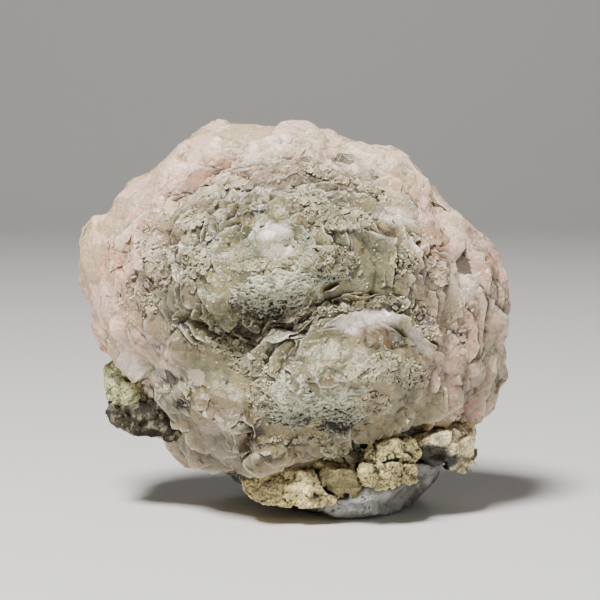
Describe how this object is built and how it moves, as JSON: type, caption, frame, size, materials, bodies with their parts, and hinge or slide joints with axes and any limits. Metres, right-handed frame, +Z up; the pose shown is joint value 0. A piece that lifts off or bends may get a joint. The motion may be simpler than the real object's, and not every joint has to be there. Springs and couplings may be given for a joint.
{
  "type": "calcite with quartz mineral specimen",
  "caption": "Domed cluster of pale pink disc-shaped calcite crystals on a grey quartz base with crusted crystals along its foot.",
  "frame": {"origin": "on the flat foot cut at the bottom of the quartz, below the specimen's middle", "axes": "+Z up, -Y towards the viewer of the domed calcite face, +X to that viewer's right"},
  "size_m": [0.1001, 0.064, 0.0908],
  "materials": {
    "calcite": "translucent pale pink and grey-beige calcite, satin on the disc faces, powdery in the hollows",
    "quartz": "milky grey translucent quartz, glassy where it is broken",
    "matrix": "dark brown-green rock, rough and matte",
    "crust": "matte ochre-yellow grainy crust"
  },
  "bodies": {
    "root": {"calcite_cluster": "calcite", "quartz_base": "quartz", "matrix_rock_left": "matrix", "crusted_crystal_left": "crust", "crusted_ledge_front": "crust", "crusted_block_front": "crust", "crusted_lump_right": "crust", "crusted_wedge_right": "crust"}
  },
  "joints": []
}
